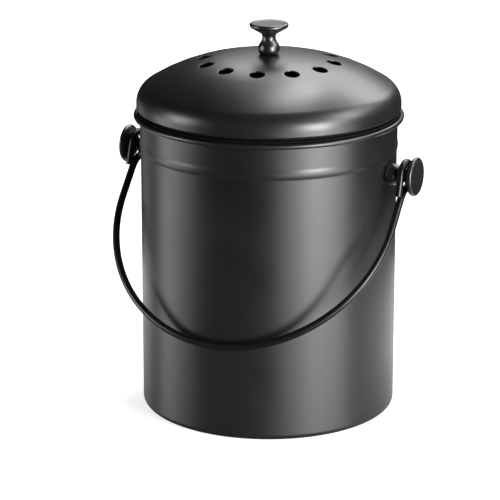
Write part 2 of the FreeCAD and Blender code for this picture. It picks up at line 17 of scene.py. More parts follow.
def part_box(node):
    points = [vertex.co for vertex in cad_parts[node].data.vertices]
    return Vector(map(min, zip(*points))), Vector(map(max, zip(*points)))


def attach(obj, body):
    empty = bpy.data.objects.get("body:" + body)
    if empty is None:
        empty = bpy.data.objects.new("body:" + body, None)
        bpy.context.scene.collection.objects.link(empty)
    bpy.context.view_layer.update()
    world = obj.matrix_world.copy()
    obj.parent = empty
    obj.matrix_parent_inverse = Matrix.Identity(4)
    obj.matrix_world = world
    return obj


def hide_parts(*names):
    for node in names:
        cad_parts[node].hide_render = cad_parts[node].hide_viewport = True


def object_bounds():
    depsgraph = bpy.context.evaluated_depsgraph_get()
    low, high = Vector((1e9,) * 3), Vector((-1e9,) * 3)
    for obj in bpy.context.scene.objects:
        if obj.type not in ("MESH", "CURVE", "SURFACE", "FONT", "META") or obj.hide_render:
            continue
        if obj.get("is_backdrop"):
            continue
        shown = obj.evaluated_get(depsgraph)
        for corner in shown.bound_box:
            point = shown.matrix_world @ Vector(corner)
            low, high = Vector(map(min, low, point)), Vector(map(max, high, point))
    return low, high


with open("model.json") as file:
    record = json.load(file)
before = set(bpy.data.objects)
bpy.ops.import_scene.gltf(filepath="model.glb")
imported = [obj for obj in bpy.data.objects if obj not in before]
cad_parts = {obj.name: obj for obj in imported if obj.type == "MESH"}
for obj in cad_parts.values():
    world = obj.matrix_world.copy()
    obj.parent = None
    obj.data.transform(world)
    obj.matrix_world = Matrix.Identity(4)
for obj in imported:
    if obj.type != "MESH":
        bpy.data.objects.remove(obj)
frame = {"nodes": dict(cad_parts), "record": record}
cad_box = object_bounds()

print("nodes", sorted(frame["nodes"]))

# %% [markdown]
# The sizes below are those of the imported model, in millimetres. A maker's drawing is in
# millimetres too, so outlines are drawn in them and turned into metres only when a mesh
# is made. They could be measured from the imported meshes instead, but a named size says
# what it is. The heights of the rim and of the lid's hem are still read back from the
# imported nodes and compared, so that a change in the model shows up at once.

# %% Sizes
MM = 0.001
WALL = 0.8
BODY_RADIUS = 89.0
UPPER_RADIUS = 89.3
PAIL_HEIGHT = 210.0
CREST_RADIUS = 91.9
CURL_RADIUS = 1.8
CURL_TAIL = math.radians(50)
BEAD_HEIGHT = 187.7
BEAD_HALF = 3.5
BEAD_PROUD = 0.55
BASE_CORNER = 4.0
BASE_FOOT = 5.0
BASE_SLOPE = 4.0
BASE_RECESS = 2.5
BASE_LAP = 8.0
JOINT_GAP = 0.05
LID_SHEET = 0.7
LID_RADIUS = 91.75
CROWN_RADIUS = 300.0
CROWN_EDGE = 28.0
FLANK_RADIUS = 130.0
SHOULDER_RADIUS = 15.0
HEM_RADIUS = 1.7
HEM_HEIGHT = 214.6
HEM_RETURN = 2.0
WIDEST_HEIGHT = 217.2
SCREW_HOLE = 2.2
VENTS = 12
VENT_RADIUS = 5.2
VENT_RING = 45.3
VENT_TURN = math.radians(14)
VENT_EDGE = 0.3
EAR_HEIGHT = 175.2
WIRE_RADIUS = 2.5
NECK_LEVEL = 12.1
NECK_RADIUS = 4.65
BAIL_LEG = 39.6
EYE_OUTSET = 1.0
EYE_PLAY = 2.05
EYE_BEND = 18.0
LEG_OFFSET = 3.15
EYE_END_GAP = 0.5
EYE_END_REACH = 17.8
SEAT_GAP = 0.3
KNOB_HEIGHT = 21.9

for node, corner, size in (("pail_wall", 1, PAIL_HEIGHT), ("lid_dome", 0, HEM_HEIGHT - HEM_RADIUS)):
    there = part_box(node)[corner].z / MM
    print(node, "height in the model", round(there, 2), "here", size)
    assert abs(there - size) < SEAT_GAP

# %% [markdown]
# Node trees are easier to read as sums than as boxes and wires. A Signal is one output of
# a node, and arithmetic on it adds the Math nodes. A Board is the tree itself, and its one
# method adds any other kind of node, with its settings first and then its sockets. The
# same two serve materials and Geometry Nodes, because both kinds of tree share them.

# %% Writing node trees
class Signal:
    """One output of a node. Arithmetic on it adds Math nodes to its tree."""

    def __init__(self, board, socket):
        self.board = board
        self.socket = socket

    def math(self, operation, first, second):
        return self.board.add("ShaderNodeMath", {"operation": operation}, {0: first, 1: second})

    def __add__(self, other):
        return self.math("ADD", self, other)

    def __radd__(self, other):
        return self.math("ADD", other, self)

    def __sub__(self, other):
        return self.math("SUBTRACT", self, other)

    def __rsub__(self, other):
        return self.math("SUBTRACT", other, self)

    def __mul__(self, other):
        return self.math("MULTIPLY", self, other)

    def __rmul__(self, other):
        return self.math("MULTIPLY", other, self)

    def __truediv__(self, other):
        return self.math("DIVIDE", self, other)

    def __rtruediv__(self, other):
        return self.math("DIVIDE", other, self)

    def __mod__(self, other):
        return self.math("FLOORED_MODULO", self, other)

    def __rmod__(self, other):
        return self.math("FLOORED_MODULO", other, self)


class Board:
    """A node tree that is being wired up."""

    def __init__(self, tree):
        self.tree = tree

    def add(self, kind, settings=None, sockets=None, out=0):
        node = self.tree.nodes.new(kind)
        for name, value in (settings or {}).items():
            setattr(node, name, value)
        for name, value in (sockets or {}).items():
            if isinstance(value, Signal):
                self.tree.links.new(value.socket, node.inputs[name])
            else:
                node.inputs[name].default_value = value
        return Signal(self, node.outputs[out])


print("sums work on a", Signal.__name__, "and every other node comes from a", Board.__name__)

# %% [markdown]
# Three rules make nearly every piece, and each is a Geometry Nodes tree with named inputs.
# All three open and close alike. At the end doubled points are merged, the faces are made
# smooth, instances become real, because an export would drop them, and the material is
# set. Modifiers such as Screw or Array could do some of it, but a tree says the whole rule
# in one place and takes its sizes by name.

# %% Opening and closing a tree
MERGE_DISTANCE = 2e-6


def new_tree(name, inputs):
    """A tree with a geometry input and output and these named inputs."""
    tree = bpy.data.node_groups.new(name, "GeometryNodeTree")
    tree.interface.new_socket("Geometry", in_out="INPUT", socket_type="NodeSocketGeometry")
    for label, kind, value in inputs:
        socket = tree.interface.new_socket(label, in_out="INPUT", socket_type=kind)
        if value is not None:
            socket.default_value = value
    tree.interface.new_socket("Geometry", in_out="OUTPUT", socket_type="NodeSocketGeometry")
    board = Board(tree)
    entry = tree.nodes.new("NodeGroupInput")
    given = {socket.name: Signal(board, socket) for socket in entry.outputs if socket.name}
    return board, given


def close_tree(board, geometry, finish):
    """Ends a tree: merged, smooth, realized and with its material."""
    merged = board.add(
        "GeometryNodeMergeByDistance", {}, {"Geometry": geometry, "Distance": MERGE_DISTANCE}
    )
    smooth = board.add("GeometryNodeSetShadeSmooth", {}, {"Geometry": merged})
    real = board.add("GeometryNodeRealizeInstances", {}, {"Geometry": smooth})
    done = board.add("GeometryNodeSetMaterial", {}, {"Geometry": real, "Material": finish})
    exit_node = board.tree.nodes.new("NodeGroupOutput")
    board.tree.links.new(done.socket, exit_node.inputs[0])


print("points closer than", MERGE_DISTANCE / MM, "mm are merged")

# %% [markdown]
# Spun and pressed sheets, and the turned knobs, are the same all round their axis. The
# first tree takes an outline and carries it round. It makes a grid with one column for
# each step and gives every point the place of its outline point, turned by its column.
# Spinning in edit mode would give the same form, but it can turn faces inside out.

# %% Turned sheet
SHEET_STEPS = 192


def turned_tree():
    board, given = new_tree("turned sheet", [
        ("Steps Round", "NodeSocketInt", SHEET_STEPS),
        ("Finish", "NodeSocketMaterial", None),
    ])
    outline = given["Geometry"]
    steps = given["Steps Round"]
    count = board.add("GeometryNodeAttributeDomainSize", {"component": "MESH"}, {"Geometry": outline})
    grid = board.add("GeometryNodeMeshGrid", {}, {"Vertices X": steps + 1, "Vertices Y": count})
    index = board.add("GeometryNodeInputIndex")
    along = index % count
    turn = (index - along) / count * math.tau / steps
    place = board.add("GeometryNodeInputPosition")
    point = board.add(
        "GeometryNodeSampleIndex", {"data_type": "FLOAT_VECTOR"},
        {"Geometry": outline, "Value": place, "Index": along},
    )
    carried = board.add(
        "ShaderNodeVectorRotate", {"rotation_type": "Z_AXIS"}, {"Vector": point, "Angle": turn}
    )
    sheet = board.add("GeometryNodeSetPosition", {}, {"Geometry": grid, "Position": carried})
    close_tree(board, sheet, given["Finish"])
    return board.tree


TURNED = turned_tree()
print("tree", TURNED.name, "with", len(TURNED.nodes), "nodes")


# %% [markdown]
# The lid's vents are punched in a ring, so the dome is one slice, with one vent, set round
# the axis as often as there are vents. The second tree puts the slice on points that all
# lie on the axis and turns each one further than the last. The seams between slices close
# when the tree merges doubled points.

# %% Ring of slices
def slices_tree():
    board, given = new_tree("ring of slices", [
        ("Slices", "NodeSocketInt", VENTS),
        ("First Turn", "NodeSocketFloat", 0.0),
        ("Finish", "NodeSocketMaterial", None),
    ])
    points = board.add("GeometryNodePoints", {}, {"Count": given["Slices"]})
    index = board.add("GeometryNodeInputIndex")
    angle = index * math.tau / given["Slices"] + given["First Turn"]
    turn = board.add("FunctionNodeAxisAngleToRotation", {}, {"Axis": (0, 0, 1), "Angle": angle})
    ring = board.add(
        "GeometryNodeInstanceOnPoints", {},
        {"Points": points, "Instance": given["Geometry"], "Rotation": turn},
    )
    real = board.add("GeometryNodeRealizeInstances", {}, {"Geometry": ring})
    close_tree(board, real, given["Finish"])
    return board.tree


SLICES = slices_tree()
print("tree", SLICES.name, "with", len(SLICES.nodes), "nodes")


# %% [markdown]
# A bail is bent from one length of round wire. The third tree carries a round section along
# a path. Its two ends are a little smaller, as if the burr of the cut had been taken off. A
# curve with a bevel would do as well, but here the ends need a size of their own.

# %% Bent wire
def wire_tree():
    board, given = new_tree("bent wire", [
        ("Wire Radius", "NodeSocketFloat", WIRE_RADIUS * MM),
        ("Sides", "NodeSocketInt", 28),
        ("End Share", "NodeSocketFloat", 0.8),
        ("Finish", "NodeSocketMaterial", None),
    ])
    path = board.add("GeometryNodeMeshToCurve", {}, {"Mesh": given["Geometry"]})
    section = board.add(
        "GeometryNodeCurvePrimitiveCircle", {},
        {"Resolution": given["Sides"], "Radius": given["Wire Radius"]},
    )
    ends = board.add("GeometryNodeCurveEndpointSelection")
    share = board.add(
        "GeometryNodeSwitch", {"input_type": "FLOAT"},
        {"Switch": ends, "False": 1.0, "True": given["End Share"]},
    )
    wire = board.add(
        "GeometryNodeCurveToMesh", {},
        {"Curve": path, "Profile Curve": section, "Scale": share, "Fill Caps": True},
    )
    close_tree(board, wire, given["Finish"])
    return board.tree


WIRE = wire_tree()
print("tree", WIRE.name, "with", len(WIRE.nodes), "nodes")

# %% [markdown]
# An outline is written as a draughtsman says it: from here straight to there, then a left
# or a right turn of this radius to there. The helper turns arcs into short chords, and sets
# a point close to each end of a long straight run: smooth shading blends across an edge,
# and without these points a bend would tint the whole wall.

# %% Outlines
ARC_STEP = math.radians(6)
SUPPORT = 0.4
LONG_RUN = 4 * SUPPORT


def arc(start, end, radius, side, step=ARC_STEP):
    """Points after start along the short arc to end; side is 1 for a left turn, -1 for a right."""
    start, end = Vector(start), Vector(end)
    chord = end - start
    height = math.sqrt(max(radius ** 2 - chord.length_squared / 4, 0))
    centre = (start + end) / 2 + Vector((-chord.y, chord.x)).normalized() * height * side
    first = math.atan2(start.y - centre.y, start.x - centre.x)
    sweep = 2 * math.asin(min(chord.length / 2 / radius, 1)) * side
    count = max(1, math.ceil(abs(sweep) / step))
    return [
        (centre.x + radius * math.cos(first + sweep * i / count),
         centre.y + radius * math.sin(first + sweep * i / count))
        for i in range(1, count + 1)
    ]


def straight(start, end):
    """The end of a straight run and, when it is long, a point close to each of its ends."""
    start, end = Vector(start), Vector(end)
    length = (end - start).length
    shares = (SUPPORT / length, 1 - SUPPORT / length, 1) if length > LONG_RUN else (1,)
    return [tuple(start.lerp(end, share)) for share in shares]


def outline(start, *moves):
    """Each move is (x, y) for a straight line or (x, y, radius) for an arc, minus for a right turn."""
    points = [start]
    for move in moves:
        if len(move) == 2:
            points += straight(points[-1], move)
        else:
            x, y, radius = move
            points += arc(points[-1], (x, y), abs(radius), 1 if radius > 0 else -1)
    return points


quarter_turn = outline((0, 0), (1, 1, 1))
print("a quarter turn has", len(quarter_turn) - 1, "chords")

# %% [markdown]
# A blank is a mesh that only feeds a tree, as a flat disc of steel feeds a press. Settling
# it runs the tree, keeps the plain mesh that comes out and removes the modifier. The mesh
# is then cleaned: no loose edges, no faces without area, and all faces outwards. Each
# finished piece is hung on the body it moves with, and the imported node it stands for is hidden.

# %% Blanks and pieces
SHARP_ANGLE = math.radians(38)


def blank(name, points, edges=(), faces=()):
    """A mesh object from points in millimetres."""
    mesh = bpy.data.meshes.new(name)
    mesh.from_pydata([[value * MM for value in point] for point in points], edges, faces)
    made = bpy.data.objects.new(name, mesh)
    bpy.context.scene.collection.objects.link(made)
    return made


def path_blank(name, points):
    return blank(name, points, [(i, i + 1) for i in range(len(points) - 1)])


def settle(made, tree, **inputs):
    """Runs a tree on a blank and keeps the plain mesh, with its faces outwards."""
    rule = made.modifiers.new(tree.name, "NODES")
    rule.node_group = tree
    for item in tree.interface.items_tree:
        key = item.name.replace(" ", "_").lower()
        if item.in_out == "INPUT" and key in inputs:
            rule[item.identifier] = inputs[key]
    graph = bpy.context.evaluated_depsgraph_get()
    mesh = bpy.data.meshes.new_from_object(made.evaluated_get(graph), depsgraph=graph)
    made.modifiers.clear()
    made.data = mesh
    work = bmesh.new()
    work.from_mesh(mesh)
    bmesh.ops.dissolve_degenerate(work, dist=MERGE_DISTANCE / 2, edges=work.edges)
    bmesh.ops.recalc_face_normals(work, faces=work.faces)
    loose = [edge for edge in work.edges if edge.is_wire]
    bmesh.ops.delete(work, geom=loose, context="EDGES")
    open_edges = sum(1 for edge in work.edges if not edge.is_manifold)
    work.to_mesh(mesh)
    work.free()
    mesh.set_sharp_from_angle(angle=SHARP_ANGLE)
    print(made.name, "faces", len(mesh.polygons), "open edges", open_edges)
    return made


def turned(name, points, finish, steps=SHEET_STEPS):
    """Carries an outline of radius and height round the upright axis."""
    made = path_blank(name, [(r, 0, z) for r, z in points])
    return settle(made, TURNED, steps_round=steps, finish=finish)


def belongs(piece, body, node):
    """Hangs a piece on the body it moves with and hides the imported node it stands for."""
    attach(piece, body)
    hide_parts(node)
    return piece


# %% [markdown]
# The finishes are worked out from noise in Object coordinates, in metres, so a blotch has
# its real size on every piece. Painted pictures would need unwrapped surfaces and show
# their seams close up. These helpers open a material, add cloudy noise, map it onto a
# range, blend two colours, turn a height into relief and plug the results in.

# %% Helpers for finishes
def finish_board(name, **plain):
    """A material's board, its shader node and its coordinates, with plain shader values set."""
    material = bpy.data.materials.new(name)
    material.use_nodes = True
    board = Board(material.node_tree)
    shader = material.node_tree.nodes["Principled BSDF"]
    for label, value in plain.items():
        shader.inputs[label.replace("_", " ")].default_value = value
    where = board.add("ShaderNodeTexCoord", out="Object")
    return material, board, shader, where


def noise(board, where, size, detail=2.0, roughness=0.5):
    """Cloudy noise whose blotches are about this many metres across."""
    return board.add(
        "ShaderNodeTexNoise", {},
        {"Vector": where, "Scale": 1 / size, "Detail": detail, "Roughness": roughness},
    )


def spread(board, signal, low, high, start=0.3, stop=0.7):
    """Maps a noise onto a range."""
    return board.add(
        "ShaderNodeMapRange", {},
        {"Value": signal, "From Min": start, "From Max": stop, "To Min": low, "To Max": high},
    )


def tint(board, signal, dark, light):
    """A colour between two, by a signal from 0 to 1."""
    return board.add(
        "ShaderNodeMix", {"data_type": "RGBA"}, {0: signal, 6: (*dark, 1), 7: (*light, 1)}, out=2
    )


def plug(board, shader, **signals):
    for label, signal in signals.items():
        board.tree.links.new(signal.socket, shader.inputs[label.replace("_", " ")])


def bump(board, height, depth=1.0):
    """Relief of this height times this depth, in metres."""
    return board.add("ShaderNodeBump", {}, {"Height": height, "Distance": depth})


print("helpers", [helper.__name__ for helper in (finish_board, noise, spread, tint, plug, bump)])

# %% [markdown]
# The pail and the lid have a satin black coat that is baked on steel: almost no colour of
# its own, a broad soft gloss, and the slight waviness that such a coat has. A flat black
# would look like plastic, so waves of a few millimetres and a finer grain bend the
# reflections a little. The knobs are a bit brighter and the wire a bit darker. The collar
# in the gap under the lid gets a darker, dull coat that hardly reflects: painted shade,
# which keeps the gap black.

# %% Coats of paint
DRIFT_SIZE = 0.035


def coated_steel(name, dark, light, rough_low, rough_high, wave, wave_depth, grain, grain_depth, **plain):
    """Paint baked on steel: a faint waviness, a finer grain and a gloss that varies a little."""
    material, board, shader, where = finish_board(name, **plain)
    drift = noise(board, where, DRIFT_SIZE, 3.0)
    waves = noise(board, where, wave)
    grains = noise(board, where, grain)
    plug(
        board, shader,
        Base_Color=tint(board, spread(board, drift, 0.0, 1.0), dark, light),
        Roughness=spread(board, drift * 0.8 + grains * 0.2, rough_low, rough_high),
        Normal=bump(board, waves * wave_depth + grains * grain_depth),
    )
    return material


satin_black = coated_steel(
    "satin_black", (0.004, 0.004, 0.004), (0.006, 0.006, 0.006), 0.33, 0.38,
    wave=0.006, wave_depth=2e-6, grain=0.0006, grain_depth=2e-6, IOR=1.6,
)
gloss_black = coated_steel(
    "gloss_black", (0.004, 0.004, 0.004), (0.006, 0.006, 0.006), 0.32, 0.36,
    wave=0.003, wave_depth=1e-6, grain=0.0005, grain_depth=4e-7, IOR=1.75,
)
wire_black = coated_steel(
    "wire_black", (0.003, 0.003, 0.003), (0.004, 0.004, 0.004), 0.3, 0.34,
    wave=0.003, wave_depth=1e-6, grain=0.0005, grain_depth=4e-7, IOR=1.42,
)
# The collar's coat is darker and dull so that the gap under the lid renders black: painted shade.
dull_black = coated_steel(
    "dull_black", (0.002, 0.002, 0.002), (0.003, 0.003, 0.003), 0.7, 0.8,
    wave=0.006, wave_depth=2e-6, grain=0.0006, grain_depth=2e-6, IOR=1.2,
)
print("coats", [coat.name for coat in (satin_black, gloss_black, wire_black, dull_black)])


# %% [markdown]
# The fixings and the filter have finishes of their own, which show when the lid is lifted.
# Zinc plating has fine cloudy crystals and a dull shine. Rubber and plastic carry the fine
# texture of their mould. The filter is carbon felt, matted fibres with lighter specks.

# %% Other finishes
CRYSTAL_SIZE, CRYSTAL_DEPTH = 0.0012, 8e-6
HANDLED_SIZE = 0.02
FIBRE_SIZE, FIBRE_DEPTH = 0.0009, 4e-4
SPECKS_PER_METRE = 900.0


def plated_steel_finish():
    """Zinc plating on turned and stamped steel: fine cloudy crystals and a dull shine."""
    material, board, shader, where = finish_board("plated_steel", Metallic=1.0)
    cloud = noise(board, where, CRYSTAL_SIZE, 4.0)
    plug(
        board, shader,
        Base_Color=tint(
            board, spread(board, cloud, 0.0, 1.0), (0.42, 0.43, 0.45), (0.66, 0.66, 0.65)
        ),
        Roughness=spread(board, cloud, 0.28, 0.46),
        Normal=bump(board, cloud, CRYSTAL_DEPTH),
    )
    return material


def moulded_finish(name, dark, light, rough_low, rough_high, grain, depth):
    """Moulded plastic or rubber with the fine texture of its mould."""
    material, board, shader, where = finish_board(name)
    texture = noise(board, where, grain, 3.0)
    handled = noise(board, where, HANDLED_SIZE)
    plug(
        board, shader,
        Base_Color=tint(board, spread(board, handled, 0.0, 1.0), dark, light),
        Roughness=spread(board, texture * 0.5 + handled * 0.5, rough_low, rough_high),
        Normal=bump(board, texture, depth),
    )
    return material


def felt_finish():
    """Carbon felt: matted fibres, dull, with lighter specks."""
    material, board, shader, where = finish_board("charcoal_felt", Roughness=0.95)
    fibres = noise(board, where, FIBRE_SIZE, 6.0, 0.7)
    specks = board.add("ShaderNodeTexVoronoi", {}, {"Vector": where, "Scale": SPECKS_PER_METRE})
    shade = spread(board, fibres * 0.8 + specks * 0.2, 0.0, 1.0)
    plug(
        board, shader,
        Base_Color=tint(board, shade, (0.018, 0.018, 0.019), (0.075, 0.075, 0.078)),
        Normal=bump(board, fibres, FIBRE_DEPTH),
    )
    return material


plated_steel = plated_steel_finish()
black_rubber = moulded_finish(
    "black_rubber", (0.018, 0.018, 0.018), (0.03, 0.03, 0.03), 0.6, 0.8, grain=0.0008, depth=1e-5
)
black_plastic = moulded_finish(
    "black_plastic", (0.014, 0.014, 0.015), (0.022, 0.022, 0.023), 0.4, 0.55, grain=0.0006, depth=2e-5
)
charcoal_felt = felt_finish()
print("finishes", [plated_steel.name, black_rubber.name, black_plastic.name, charcoal_felt.name])

# %% [markdown]
# The pail's wall is one sheet: straight, with a pressed bead that stiffens it, flared into
# the mouth and curled outwards over the top so that no cut edge is left to touch. A
# cylinder with a thickness would be quicker, but the curl and the bead are what catches
# the light. So the outline goes up the outside, round the curl and down the inside, and
# the inside is right too when the lid is lifted.

# %% Pail wall
INNER_RADIUS = BODY_RADIUS - WALL
MOUTH_RADIUS = UPPER_RADIUS - WALL
FLARE = CREST_RADIUS - MOUTH_RADIUS
CURL_HEIGHT = PAIL_HEIGHT - CURL_RADIUS
CURL_INNER = CURL_RADIUS - WALL
BEAD_ROUND = (BEAD_HALF ** 2 + BEAD_PROUD ** 2) / (2 * BEAD_PROUD)


def curl_tail(radius):
    return CREST_RADIUS - radius * math.sin(CURL_TAIL), CURL_HEIGHT - radius * math.cos(CURL_TAIL)


wall_outline = outline(
    (BODY_RADIUS, BASE_CORNER),
    (BODY_RADIUS, BEAD_HEIGHT - BEAD_HALF),
    (UPPER_RADIUS, BEAD_HEIGHT + BEAD_HALF, BEAD_ROUND),
    (UPPER_RADIUS, PAIL_HEIGHT - FLARE),
    (CREST_RADIUS, PAIL_HEIGHT - WALL, WALL - FLARE),
    (CREST_RADIUS + CURL_INNER, CURL_HEIGHT, -CURL_INNER),
    (CREST_RADIUS, CURL_HEIGHT - CURL_INNER, -CURL_INNER),
    (*curl_tail(CURL_INNER), -CURL_INNER),
    curl_tail(CURL_RADIUS),
    (CREST_RADIUS, CURL_HEIGHT - CURL_RADIUS, CURL_RADIUS),
    (CREST_RADIUS + CURL_RADIUS, CURL_HEIGHT, CURL_RADIUS),
    (CREST_RADIUS, PAIL_HEIGHT, CURL_RADIUS),
    (MOUTH_RADIUS, PAIL_HEIGHT - FLARE, FLARE),
    (MOUTH_RADIUS, BEAD_HEIGHT + BEAD_HALF),
    (INNER_RADIUS, BEAD_HEIGHT - BEAD_HALF, -BEAD_ROUND),
    (INNER_RADIUS, BASE_CORNER),
    (BODY_RADIUS, BASE_CORNER),
)
belongs(turned("painted_wall", wall_outline, satin_black), "pail", "pail_wall")

# %% [markdown]
# The base is a pressed pan: it stands on a narrow ring, its middle is raised a little so
# that it doesn't rock, and its flange laps inside the wall. It is turned from its outline
# like the wall, both faces at once, because its rounded corner shows all round the foot.

# %% Pail base
foot_outer = BODY_RADIUS - BASE_CORNER
foot_inner = foot_outer - BASE_FOOT
middle_edge = foot_inner - BASE_SLOPE
lap_outer = INNER_RADIUS - JOINT_GAP
lap_top = BASE_CORNER + BASE_LAP
base_outline = outline(
    (0, BASE_RECESS),
    (middle_edge, BASE_RECESS),
    (foot_inner, 0),
    (foot_outer, 0),
    (BODY_RADIUS, BASE_CORNER, BASE_CORNER),
    (lap_outer, BASE_CORNER),
    (lap_outer, lap_top),
    (lap_outer - WALL, lap_top),
    (lap_outer - WALL, BASE_CORNER),
    (foot_outer, WALL, -BASE_CORNER),
    (foot_inner, WALL),
    (middle_edge, BASE_RECESS + WALL),
    (0, BASE_RECESS + WALL),
)
belongs(turned("pressed_base", base_outline, satin_black), "pail", "pail_base")

# %% [markdown]
# The lid's dome is one pressed sheet. From the middle outwards it is nearly flat, then
# falls in a rounder curve and turns down over a tight shoulder. The three arcs run into each
# other without a crease, so the height at any distance from the axis can be worked out.
# A scaled sphere would be simpler, but it has no shoulder.

# %% Dome's curve
crown_sine = CROWN_EDGE / CROWN_RADIUS
crown_cosine = math.sqrt(1 - crown_sine ** 2)
flank_x = (CROWN_RADIUS - FLANK_RADIUS) * crown_sine
flank_span = FLANK_RADIUS - SHOULDER_RADIUS
flank_run = LID_RADIUS - SHOULDER_RADIUS - flank_x
flank_drop = math.sqrt(flank_span ** 2 - flank_run ** 2)
flank_z = WIDEST_HEIGHT - flank_drop
crown_z = flank_z - (CROWN_RADIUS - FLANK_RADIUS) * crown_cosine
APEX = crown_z + CROWN_RADIUS


def dome_height(radius, inset=0.0):
    """Height of the dome at a distance from the axis, outside or one sheet further in."""
    if radius <= (CROWN_RADIUS - inset) * crown_sine:
        return crown_z + math.sqrt((CROWN_RADIUS - inset) ** 2 - radius ** 2)
    return flank_z + math.sqrt((FLANK_RADIUS - inset) ** 2 - (radius - flank_x) ** 2)


def flank_edge(inset):
    reach = (FLANK_RADIUS - inset) / flank_span
    return flank_x + reach * flank_run, flank_z + reach * flank_drop


print("dome's top", round(APEX, 2), "mm, its shoulder begins", round(flank_edge(0)[0], 2), "mm out")


# %% [markdown]
# Twelve round vents are punched through the dome. Cutting them with a boolean would leave
# long thin triangles, and they show as creases in a satin reflection. So one slice of 30
# degrees is drawn: plain strips inside and outside the ring of vents, and a patch
# round the vent between them. The strips come first.

# %% Strips of the dome
SLICE_HALF = math.pi / VENTS
STEPS_ACROSS = 16


def strip(points, radii_and_heights):
    """Adds a run of the outline, carried across the slice, and returns its faces."""
    first = len(points)
    across = STEPS_ACROSS + 1
    for radius, height in radii_and_heights:
        for i in range(across):
            angle = SLICE_HALF * (2 * i / STEPS_ACROSS - 1)
            points.append((radius * math.cos(angle), radius * math.sin(angle), height))
    rows = len(radii_and_heights) - 1
    return [
        (first + r * across + i, first + r * across + i + 1,
         first + (r + 1) * across + i + 1, first + (r + 1) * across + i)
        for r in range(rows) for i in range(STEPS_ACROSS)
    ]


print("a slice spans", round(math.degrees(2 * SLICE_HALF), 1), "degrees in", STEPS_ACROSS, "steps")

# %% [markdown]
# The patch's faces spread in rings from the vent to the slice's borders, close together at
# the vent and wider further out. Its border has a point wherever the strips have one, so
# that they join. The rings run over the vent's rounded edge, down the cut and back under
# the sheet. A square grid would be less work, but its corners would show round the hole.

# %% Patch round a vent
STEPS_OUT = 12
PATCH_INNER = VENT_RING - 9.5
PATCH_OUTER = VENT_RING + 10.5
SPREAD_SHARES = (0.0, 0.06, 0.16, 0.32, 0.52, 0.76, 1.0)
EDGE_ANGLES = (30, 60, 90)


def patch_border():
    """The border of the part round the vent, once round, seen from above."""
    def at(radius, share):
        angle = SLICE_HALF * (2 * share - 1)
        return Vector((radius * math.cos(angle), radius * math.sin(angle)))

    def out(share):
        return PATCH_INNER + (PATCH_OUTER - PATCH_INNER) * share

    border = [at(PATCH_INNER, i / STEPS_ACROSS) for i in range(STEPS_ACROSS)]
    border += [at(out(i / STEPS_OUT), 1) for i in range(STEPS_OUT)]
    border += [at(PATCH_OUTER, 1 - i / STEPS_ACROSS) for i in range(STEPS_ACROSS)]
    border += [at(out(1 - i / STEPS_OUT), 0) for i in range(STEPS_OUT)]
    return border


def vent_patch(points):
    """Rings from the slice's border to the vent, over its rounded edge and back underneath."""
    centre = Vector((VENT_RING, 0))
    border = patch_border()
    rings = []

    def ring(radius, share, height):
        row = []
        for corner in border:
            towards = (corner - centre).normalized()
            start = centre + towards * radius
            spot = start.lerp(corner, share)
            row.append((spot.x, spot.y, height(spot.length)))
        rings.append(row)

    for share in reversed(SPREAD_SHARES):
        ring(VENT_RADIUS + VENT_EDGE, share, dome_height)
    for angle in EDGE_ANGLES:
        drop = VENT_EDGE * (1 - math.cos(math.radians(angle)))
        pulled = VENT_RADIUS + VENT_EDGE * (1 - math.sin(math.radians(angle)))
        ring(pulled, 0.0, lambda r: dome_height(r) - drop)
    for share in SPREAD_SHARES:
        ring(VENT_RADIUS, share, lambda r: dome_height(r, LID_SHEET))
    first = len(points)
    size = len(border)
    for row in rings:
        points += row
    return [
        (first + k * size + i, first + k * size + (i + 1) % size,
         first + (k + 1) * size + (i + 1) % size, first + (k + 1) * size + i)
        for k in range(len(rings) - 1) for i in range(size)
    ]


print("a vent's border has", len(patch_border()), "points")


# %% [markdown]
# The slice is put together from its outer strip, which runs over the shoulder and round the
# rolled hem, its inner strip, which runs out to the screw's hole and back, and the patch
# with the vent. It is one closed sheet with both faces. The second tree sets it twelve
# times round the axis, and the first turn puts the vents where the photograph has them.

# %% Vented dome
def dome_slice():
    hem_x = LID_RADIUS - HEM_RADIUS
    hem_in = HEM_RADIUS - LID_SHEET
    shoulder_in = SHOULDER_RADIUS - LID_SHEET
    outer_run = outline(
        (PATCH_OUTER, dome_height(PATCH_OUTER)),
        (*flank_edge(0), -FLANK_RADIUS),
        (LID_RADIUS, WIDEST_HEIGHT, -SHOULDER_RADIUS),
        (LID_RADIUS, HEM_HEIGHT),
        (hem_x, HEM_HEIGHT - HEM_RADIUS, -HEM_RADIUS),
        (hem_x - HEM_RADIUS, HEM_HEIGHT, -HEM_RADIUS),
        (hem_x - HEM_RADIUS, HEM_HEIGHT + HEM_RETURN),
        (hem_x - hem_in, HEM_HEIGHT + HEM_RETURN),
        (hem_x - hem_in, HEM_HEIGHT),
        (hem_x, HEM_HEIGHT - hem_in, hem_in),
        (LID_RADIUS - LID_SHEET, HEM_HEIGHT, hem_in),
        (LID_RADIUS - LID_SHEET, WIDEST_HEIGHT),
        (*flank_edge(LID_SHEET), shoulder_in),
        (PATCH_OUTER, dome_height(PATCH_OUTER, LID_SHEET), FLANK_RADIUS - LID_SHEET),
    )
    rows = [SCREW_HOLE + (PATCH_INNER - SCREW_HOLE) * i / STEPS_OUT for i in range(STEPS_OUT + 1)]
    inner_run = [(r, dome_height(r, LID_SHEET)) for r in reversed(rows)]
    inner_run += [(r, dome_height(r)) for r in rows]
    points = []
    faces = strip(points, outer_run) + strip(points, inner_run) + vent_patch(points)
    return blank("vented_dome", points, (), faces)


dome = settle(dome_slice(), SLICES, slices=VENTS, first_turn=VENT_TURN - math.pi / 2, finish=satin_black)
belongs(dome, "lid", "lid_dome")
